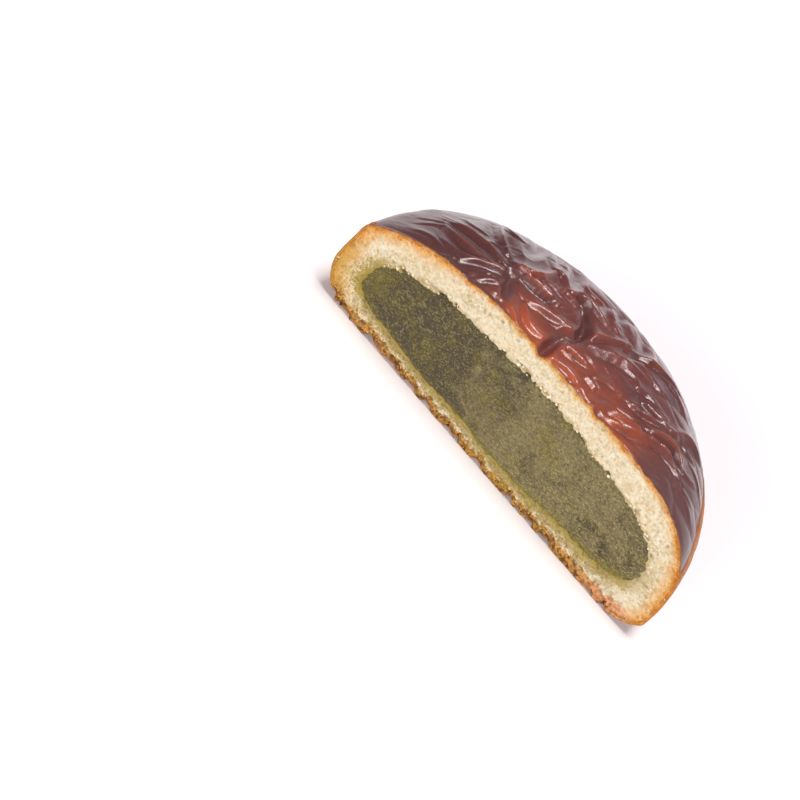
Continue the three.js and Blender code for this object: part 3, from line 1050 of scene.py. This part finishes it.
class Nodes:
    """A tree of shading nodes, added and linked with short calls."""

    def __init__(self, tree, coordinate):
        self.tree = tree
        self.place = self.add("TexCoord").outputs[coordinate]

    def put(self, socket, value):
        """Sets a socket to a value or a colour, or links an output to it."""
        if isinstance(value, bpy.types.NodeSocket):
            self.tree.links.new(value, socket)
        elif socket.type == "RGBA":
            socket.default_value = (*value, 1.0)
        else:
            socket.default_value = value

    def add(self, kind, inputs=None, **options):
        """A new node with its options and inputs."""
        node = self.tree.nodes.new("ShaderNode" + kind)
        for name, value in options.items():
            setattr(node, name, value)
        for key, value in (inputs or {}).items():
            self.put(node.inputs[key], value)
        return node

    def split(self):
        """The place's x, y and z."""
        return self.add("SeparateXYZ", {0: self.place}).outputs

    def maths(self, operation, *values):
        """A chain of one arithmetic operation."""
        total = values[0]
        for value in values[1:]:
            total = self.add("Math", {0: total, 1: value}, operation=operation).outputs[0]
        return total

    def plus(self, *values):
        return self.maths("ADD", *values)

    def times(self, *values):
        return self.maths("MULTIPLY", *values)

    def away(self, value, middle):
        """How far a value is from a middle, either way."""
        gap = self.maths("SUBTRACT", value, middle)
        return self.add("Math", {0: gap}, operation="ABSOLUTE").outputs[0]

    def step(self, value, low, high, to_low=0.0, to_high=1.0):
        """A smooth step between two limits."""
        limits = {"From Min": low, "From Max": high, "To Min": to_low, "To Max": to_high}
        inputs = {"Value": value, **limits}
        return self.add("MapRange", inputs, interpolation_type="SMOOTHSTEP").outputs[0]


class Look(Nodes):
    """The nodes of one material."""

    def __init__(self, name):
        self.material = bpy.data.materials.new(name)
        self.material.use_nodes = True
        super().__init__(self.material.node_tree, "Object")
        self.shader = self.tree.nodes["Principled BSDF"]

    def mark(self, name):
        """A mark that the mesh carries."""
        return self.add("Attribute", attribute_name=name).outputs["Fac"]

    def lumps(self, size, detail=2.0, roughness=0.5, stretch=(1, 1, 1), bend=0.0):
        """Noise around a half, in lumps of a size in millimetres."""
        stretched = self.add("Mapping", {"Vector": self.place, "Scale": stretch})
        inputs = {
            "Vector": stretched.outputs[0],
            "Scale": 1000 / size,
            "Detail": detail,
            "Roughness": roughness,
            "Distortion": bend,
        }
        return self.add("TexNoise", inputs).outputs["Fac"]

    def blend(self, share, a, b):
        """Colour a turning into colour b."""
        inputs = {"Factor": share, 6: a, 7: b}
        return self.add("Mix", inputs, data_type="RGBA").outputs[2]

    def coats(self, colour, *coats):
        """A colour under further coats, each with its share and its colour."""
        for share, coat in coats:
            colour = self.blend(share, colour, coat)
        return colour

    def bump(self, height, depth):
        """Raises the surface by a height in millimetres times 0 to 1."""
        node = self.add("Bump", {"Distance": depth / 1000, "Height": height})
        self.put(self.shader.inputs["Normal"], node.outputs[0])
        return node.outputs[0]

    def finish(self, colour, roughness, **settings):
        self.put(self.shader.inputs["Base Color"], colour)
        self.put(self.shader.inputs["Roughness"], roughness)
        for name, value in settings.items():
            self.put(self.shader.inputs[name.replace("_", " ")], value)
        return self.material


def crust_look(group):
    """Glossy brown glaze on top, matte tan side, darker crumbly base."""
    look = Look("glazed crust")
    glaze = look.mark("glaze")
    rise = look.mark("rise")
    x, _, z = look.split()
    cloud = look.lumps(9.0, 3.0, 0.55, bend=0.4)
    fleck = look.lumps(1.1, 3.0, 0.6)
    hair = look.lumps(0.5, 2.0, 0.6, stretch=(0.35, 1, 1))
    speckle = look.lumps(0.45, 3.0, 0.7)
    aside = look.away(x, 0.002)
    near_cut = look.step(look.mark("from_cut"), 13.0, 0.5)
    clouded = look.step(cloud, 0.25, 0.6, 0.45, 1.0)
    # Painted sheen: the right end takes the lighter, greyer valley colour; the left end takes
    # the dark end glaze.
    ends = look.blend(look.step(x, -0.01, 0.01), group.end, group.valley)
    glazed = look.coats(
        group.dark,
        (look.step(cloud, 0.35, 0.68), group.mid),
        (look.times(look.step(aside, 0.03, 0.01), near_cut, clouded), group.warm),
        (look.step(aside, 0.013, 0.031, 0.0, 0.95), ends),
        # Painted shade: the darker, greyer valley colour is laid into the creases where the
        # glaze sinks.
        (look.step(rise, -0.15, -0.9, 0.0, 0.75), group.valley),
        (look.step(rise, 0.3, 0.9, 0.0, 0.35), group.warm),
        (look.step(fleck, 0.55, 0.75, 0.0, 0.25), group.dark),
        (look.step(speckle, 0.5, 0.66, 0.0, 0.5), group.valley),
        (look.step(speckle, 0.46, 0.3, 0.0, 0.3), group.warm),
    )
    tan = look.coats(
        group.side_dark,
        (look.step(speckle, 0.36, 0.6), group.side),
        (look.step(z, 0.010, 0.001, 0.0, 0.55), group.base),
        (look.step(look.mark("above_line"), -3.5, 0.0, 0.0, 0.6), group.warm),
        (look.times(look.mark("crumbly"), 0.7), group.pit),
    )
    grain = look.times(look.step(glaze, 0.0, 1.0, 1.0, 0.0), look.lumps(0.45, 3.0))
    fine = look.times(glaze, look.plus(hair, speckle), 0.25)
    raised = look.bump(look.plus(grain, fine), 0.16)
    return look.finish(
        look.blend(glaze, tan, glazed),
        look.step(glaze, 0.3, 0.9, 0.72, 0.42),
        Coat_Weight=look.step(glaze, 0.5, 1.0),
        Coat_Roughness=group.gloss_blur,
        Coat_IOR=1.5,
        Coat_Normal=raised,
        Specular_IOR_Level=0.3,
    )


def crumb_look(group):
    """Cream crumb, golden towards the crust and stained green by the paste."""
    look = Look("crumb")
    from_edge = look.mark("from_edge")
    from_hollow = look.mark("from_hollow")
    x, _, z = look.split()
    wisps = look.lumps(2.4, 4.0, 0.6, bend=0.8)
    fine = look.lumps(0.5, 3.0, 0.7)
    coarse = look.lumps(1.0, 3.0, 0.7)
    wander = look.times(look.maths("SUBTRACT", wisps, 0.5), 4.0)
    grainy = look.times(look.maths("SUBTRACT", fine, 0.5), 3.0)
    aside = look.away(x, 0.006)
    thinner = look.step(aside, 0.022, 0.040, 1.5, 0.8)
    edge = look.times(look.plus(from_edge, wander, grainy), thinner)
    hollow = look.plus(from_hollow, wander, grainy, grainy)
    # Painted shade between the crumb's grains: where this lit noise is low the crumb keeps its
    # shade colour, where it is high the lighter crumb colour.
    lit = look.plus(look.times(wisps, 0.35), look.times(fine, 0.65))
    golden = look.times(look.step(edge, 3.9, 0.5), look.step(fine, 0.42, 0.52, 0.62, 1.0))
    toasted = look.times(look.step(edge, 3.6, 0.8), look.step(fine, 0.5, 0.57, 0.0, 0.75))
    toasted = look.maths("MAXIMUM", toasted, look.step(edge, 1.2, 0.0))
    low_left = look.times(look.step(x, -0.032, -0.044), look.step(z, 0.019, 0.010))
    yellowed = look.times(low_left, look.step(fine, 0.42, 0.55, 0.9, 0.3))
    skin = look.times(look.step(from_edge, 0.42, 0.1, 0.0, 0.7), look.mark("crown"))
    wider = look.step(x, -0.020, 0.030, 1.1, 0.62)
    baked = look.times(look.mark("base"), look.step(look.times(edge, wider), 3.2, 2.0))
    rosy = look.step(x, 0.028, 0.037)
    pits = look.times(look.step(coarse, 0.52, 0.42), look.step(rosy, 0.0, 1.0, 1.0, 0.5))
    sides = look.times(look.step(aside, 0.028, 0.042), look.step(z, 0.021, 0.015, 0.3, 1.0))
    low_or_aside = look.maths("MAXIMUM", look.step(z, 0.014, 0.007), sides)
    near_paste = look.step(hollow, look.step(x, -0.01, 0.01, 3.0, 4.0), 0.5)
    colour = look.coats(
        group.crumb_painted_shade,
        (look.step(lit, 0.38, 0.58), group.crumb),
        (golden, group.golden),
        (toasted, group.toasted),
        (yellowed, group.yellowed),
        (skin, group.skin),
        (baked, look.coats(group.base, (rosy, group.base_corner), (pits, group.base_dark))),
        (look.times(near_paste, low_or_aside, 0.8), group.stain),
        (look.step(from_hollow, 0.5, -0.2, 0.0, 0.4), group.stain),
        # Painted shade in the pores, gaps and crumbly base, from the pit mark.
        (look.times(look.mark("pit"), 0.45), group.pore),
        (look.step(fine, 0.6, 0.75, 0.0, 0.35), group.golden),
    )
    look.bump(look.plus(fine, look.lumps(0.35, 3.0, 0.6)), 0.42)
    return look.finish(
        colour,
        0.85,
        Subsurface_Weight=0.12,
        Subsurface_Radius=(0.0012, 0.0008, 0.0004),
        Subsurface_Scale=1.0,
        Specular_IOR_Level=0.3,
    )


def paste_look(group):
    """Matte green bean paste, mottled, with light flecks."""
    look = Look("bean paste")
    x, _, z = look.split()
    cloud = look.lumps(8.0, 4.0, 0.6, bend=0.8)
    mottle = look.lumps(0.9, 4.0, 0.65, bend=0.5)
    patch = look.lumps(4.5, 3.0, 0.6, bend=0.8)
    grain = look.lumps(0.36, 3.0, 0.7, stretch=(0.7, 1, 1.2))
    to_right = look.step(x, -0.034, 0.004, -0.32, 0.1)
    to_end = look.step(x, 0.016, 0.034, 0.0, -0.07)
    shaded = look.plus(cloud, to_right, to_end)
    ragged = look.plus(look.mark("brink"), look.times(mottle, 0.3))
    below = look.times(look.step(z, 0.013, 0.007), look.step(x, -0.02, 0.01, 0.4, 1.0))
    below = look.maths("MAXIMUM", below, look.step(x, -0.029, -0.037, 0.0, 0.4))
    flecked = look.times(look.step(grain, 0.52, 0.64), look.step(x, -0.01, 0.02, 0.55, 0.9))
    colour = look.coats(
        group.mid,
        (look.step(mottle, 0.4, 0.62, 0.0, 0.8), group.light),
        (look.step(mottle, 0.46, 0.3, 0.0, 0.5), group.dark),
        (look.step(shaded, 0.62, 0.36, 0.0, 0.85), group.dark),
        (look.times(look.step(ragged, 0.95, 1.15), below, 0.85), group.moist),
        (look.step(patch, 0.5, 0.66, 0.0, 0.32), group.moist),
        (flecked, group.fleck),
        (look.step(grain, 0.46, 0.34, 0.0, 0.6), group.speck),
    )
    look.bump(look.plus(grain, mottle), 0.3)
    return look.finish(colour, 0.8, Specular_IOR_Level=0.25)


def loose_crumb_look(group):
    """Pale to golden crumbs, browned along the base."""
    look = Look("loose crumbs")
    _, _, z = look.split()
    colour = look.coats(
        group.crumb,
        (look.step(look.lumps(2.0, 2.0), 0.35, 0.65, 0.0, 0.45), group.golden),
        (look.step(z, 0.012, 0.006), group.base),
    )
    look.bump(look.lumps(0.3, 2.0), 0.15)
    return look.finish(colour, 0.85, Specular_IOR_Level=0.3)


# -------------------------------------------------------------------- stage


def make_floor(group):
    bm = bmesh.new()
    bmesh.ops.create_circle(bm, cap_ends=True, segments=96, radius=FLOOR_RADIUS)
    bmesh.ops.translate(bm, verts=bm.verts, vec=(0, 0, -FLOOR_GAP))
    mesh = bpy.data.meshes.new("floor")
    bm.to_mesh(mesh)
    bm.free()
    look = Look("pale floor")
    mesh.materials.append(look.finish(group.floor, 0.6, Specular_IOR_Level=0.2))
    floor = bpy.data.objects.new("floor", mesh)
    bpy.context.collection.objects.link(floor)


def make_light(name, power, way, distance, size, tint):
    """A square softbox that looks at the bun from a direction."""
    data = bpy.data.lights.new(name, "AREA")
    data.shape = "SQUARE"
    data.size = size
    data.energy = power
    data.color = tint
    light = bpy.data.objects.new(name, data)
    way = Vector(way).normalized()
    light.location = Vector(LIT_PLACE) + way * distance
    light.rotation_mode = "QUATERNION"
    light.rotation_quaternion = way.to_track_quat("Z", "Y")
    bpy.context.collection.objects.link(light)


def make_world(group):
    """Light from all round: a bright backdrop below, darker overhead."""
    world = bpy.data.worlds.new("studio")
    world.use_nodes = True
    nodes = Nodes(world.node_tree, "Generated")
    x, _, z = nodes.split()
    height = nodes.plus(nodes.times(x, -BACKDROP_LEAN), z)
    strengths = (group.backdrop_strength, group.world_strength)
    back = nodes.tree.nodes["Background"]
    nodes.put(back.inputs["Color"], group.world)
    light = nodes.step(height, BACKDROP_FADES_FROM, BACKDROP_ENDS_AT, *strengths)
    nodes.put(back.inputs["Strength"], light)
    bpy.context.scene.world = world
    bpy.context.scene.view_settings.view_transform = "Standard"


def make_camera():
    """The photograph's camera: same place, turned to look at its middle."""
    azimuth = math.radians(CAMERA_AZIMUTH)
    elevation = math.radians(CAMERA_ELEVATION)
    roll = math.radians(CAMERA_ROLL)
    back = np.array(
        [
            math.sin(azimuth) * math.cos(elevation),
            -math.cos(azimuth) * math.cos(elevation),
            math.sin(elevation),
        ]
    )
    level = np.array([math.cos(azimuth), math.sin(azimuth), 0.0])
    upright = np.cross(back, level)
    right = math.cos(roll) * level + math.sin(roll) * upright
    up = -math.sin(roll) * level + math.cos(roll) * upright
    eye = CAMERA_LOOKED_AT + back * CAMERA_DISTANCE
    aside = (SEEN_AT[0] - IMAGE_SIZE / 2) / PIXELS_PER_MM
    above = (IMAGE_SIZE / 2 - SEEN_AT[1]) / PIXELS_PER_MM
    middle = CAMERA_LOOKED_AT - right * aside - up * above
    z_axis = Vector(eye - middle).normalized()
    x_axis = Vector(up).cross(z_axis).normalized()
    y_axis = z_axis.cross(x_axis)
    data = bpy.data.cameras.new("camera")
    data.sensor_width = SENSOR_WIDTH
    data.lens = PIXELS_PER_MM * CAMERA_DISTANCE / IMAGE_SIZE * SENSOR_WIDTH
    data.clip_start = 0.01
    data.clip_end = 50
    camera = bpy.data.objects.new("camera", data)
    turn = Matrix((x_axis, y_axis, z_axis)).transposed()
    camera.matrix_world = Matrix.Translation(placed(eye)) @ turn.to_4x4()
    bpy.context.collection.objects.link(camera)
    bpy.context.scene.camera = camera


# -------------------------------------------------------- settings and panel


def colour_setting(name, code, text):
    return FloatVectorProperty(
        name=name,
        description=text,
        subtype="COLOR",
        size=3,
        min=0.0,
        max=1.0,
        default=linear(code),
    )


def number_setting(name, value, text, unit="NONE"):
    return FloatProperty(name=name, description=text, default=value, min=0.0, unit=unit)


class AnpanCrustSettings(bpy.types.PropertyGroup):
    """Colours of the glazed crust"""

    dark: colour_setting("Dark glaze", "582a27", "Thick, dark glaze")
    mid: colour_setting("Glaze", "73362a", "Glaze on most of the top")
    warm: colour_setting("Warm glaze", "a84a1c", "Thin glaze near the cut and on crests")
    end: colour_setting("Left end", "48211f", "Darkest glaze, at the left end")
    # valley: painted shade in the creases and painted sheen at the right end, also used for the
    # glaze's speckles
    valley: colour_setting("Valleys", "5e3a37", "Glaze in the creases and at the right end")
    side: colour_setting("Side", "d09a66", "Baked side below the glaze")
    side_dark: colour_setting("Side grain", "b67944", "Darker grain of the side")
    base: colour_setting("Base", "a86929", "Browned base")
    pit: colour_setting("Base pits", "5a3015", "Pits of the base")
    gloss_blur: number_setting("Gloss blur", 0.21, "Roughness of the glaze's gloss")


class AnpanCrumbSettings(bpy.types.PropertyGroup):
    """Colours of the cut crumb"""

    crumb: colour_setting("Crumb", "f3e8cd", "Lightest crumb")
    # Painted shade: the crumb's colour between its grains.
    crumb_painted_shade: colour_setting("Crumb shade", "e3cda0", "Duller crumb between the grains")
    golden: colour_setting("Golden crumb", "f0b050", "Crumb close to the crust")
    toasted: colour_setting("Toasted crumb", "cc7e2d", "Crumb against the crust")
    yellowed: colour_setting("Yellowed crumb", "cda649", "Crumb at the left end")
    skin: colour_setting("Skin", "7d4024", "The glazed skin where it is cut")
    base: colour_setting("Base crust", "d29c4e", "Cut edge of the base")
    base_corner: colour_setting("Base corner", "f2ac7a", "Cut edge of the base at the right")
    base_dark: colour_setting("Base grains", "74431a", "Darker grains of the base")
    stain: colour_setting("Stain", "a08a24", "Crumb stained by the paste")
    pore: colour_setting("Pores", "b99b60", "Shade inside the pores")


class AnpanPasteSettings(bpy.types.PropertyGroup):
    """Colours of the bean paste"""

    dark: colour_setting("Dark paste", "453c2e", "Darkest clouds of the paste")
    mid: colour_setting("Paste", "736748", "Most of the paste")
    light: colour_setting("Light paste", "877b52", "Lighter mottles")
    fleck: colour_setting("Flecks", "a29764", "Fine light flecks")
    speck: colour_setting("Specks", "403828", "Fine dark specks")
    moist: colour_setting("Moist edge", "7d7122", "Yellow-green edge at the left and below")


class AnpanStageSettings(bpy.types.PropertyGroup):
    """Light and floor"""

    floor: colour_setting("Floor", "faf9f9", "Plain pale floor")
    world: colour_setting("Sky", "faf3ff", "Light from all round")
    backdrop_strength: number_setting("Backdrop", 0.62, "Light from low all round")
    world_strength: number_setting("Sky strength", 0.22, "Light from high all round")
    key: number_setting("Key", 34.0, "Power of the softbox overhead", "POWER")
    front: number_setting("Front", 31.0, "Power of the softbox in front", "POWER")


class MESH_OT_anpan_crust(bpy.types.Operator):
    """Make the crust with its folded glaze"""

    bl_idname = "mesh.anpan_crust"
    bl_label = "Crust"

    def execute(self, context):
        scene = context.scene
        make_crust([crust_look(scene.anpan_crust), crumb_look(scene.anpan_crumb)])
        return {"FINISHED"}


class MESH_OT_anpan_crumb(bpy.types.Operator):
    """Make the crumb of the cut and the loose crumbs on it"""

    bl_idname = "mesh.anpan_crumb"
    bl_label = "Crumb"

    def execute(self, context):
        make_crumb(crumb_look(context.scene.anpan_crumb))
        make_loose_crumbs(loose_crumb_look(context.scene.anpan_crumb))
        return {"FINISHED"}


class MESH_OT_anpan_paste(bpy.types.Operator):
    """Make the bean paste"""

    bl_idname = "mesh.anpan_paste"
    bl_label = "Bean paste"

    def execute(self, context):
        make_paste(paste_look(context.scene.anpan_paste))
        return {"FINISHED"}


class SCENE_OT_anpan_stage(bpy.types.Operator):
    """Make the floor, the lights and the camera"""

    bl_idname = "scene.anpan_stage"
    bl_label = "Stage"

    def execute(self, context):
        group = context.scene.anpan_stage
        make_floor(group)
        make_world(group)
        for name, *softbox in SOFTBOXES:
            make_light(name, getattr(group, name), *softbox)
        make_camera()
        return {"FINISHED"}


class VIEW3D_PT_anpan(bpy.types.Panel):
    """Pieces of the half anpan"""

    bl_label = "Anpan"
    bl_space_type = "VIEW_3D"
    bl_region_type = "UI"
    bl_category = "Anpan"

    def draw(self, context):
        for operator, group in PIECES:
            self.layout.operator(operator)
            settings = getattr(context.scene, group)
            for name in settings.__annotations__:
                self.layout.prop(settings, name)


PIECES = (
    ("mesh.anpan_crust", "anpan_crust"),
    ("mesh.anpan_crumb", "anpan_crumb"),
    ("mesh.anpan_paste", "anpan_paste"),
    ("scene.anpan_stage", "anpan_stage"),
)
SETTINGS = {
    "anpan_crust": AnpanCrustSettings,
    "anpan_crumb": AnpanCrumbSettings,
    "anpan_paste": AnpanPasteSettings,
    "anpan_stage": AnpanStageSettings,
}
CLASSES = (
    *SETTINGS.values(),
    MESH_OT_anpan_crust,
    MESH_OT_anpan_crumb,
    MESH_OT_anpan_paste,
    SCENE_OT_anpan_stage,
    VIEW3D_PT_anpan,
)


def register():
    for item in CLASSES:
        bpy.utils.register_class(item)
    for name, group in SETTINGS.items():
        setattr(bpy.types.Scene, name, PointerProperty(type=group))


def unregister():
    for name in SETTINGS:
        delattr(bpy.types.Scene, name)
    for item in reversed(CLASSES):
        bpy.utils.unregister_class(item)


def main():
    register()
    bpy.ops.mesh.anpan_crust()
    bpy.ops.mesh.anpan_crumb()
    bpy.ops.mesh.anpan_paste()
    bpy.ops.scene.anpan_stage()


if __name__ == "__main__":
    main()
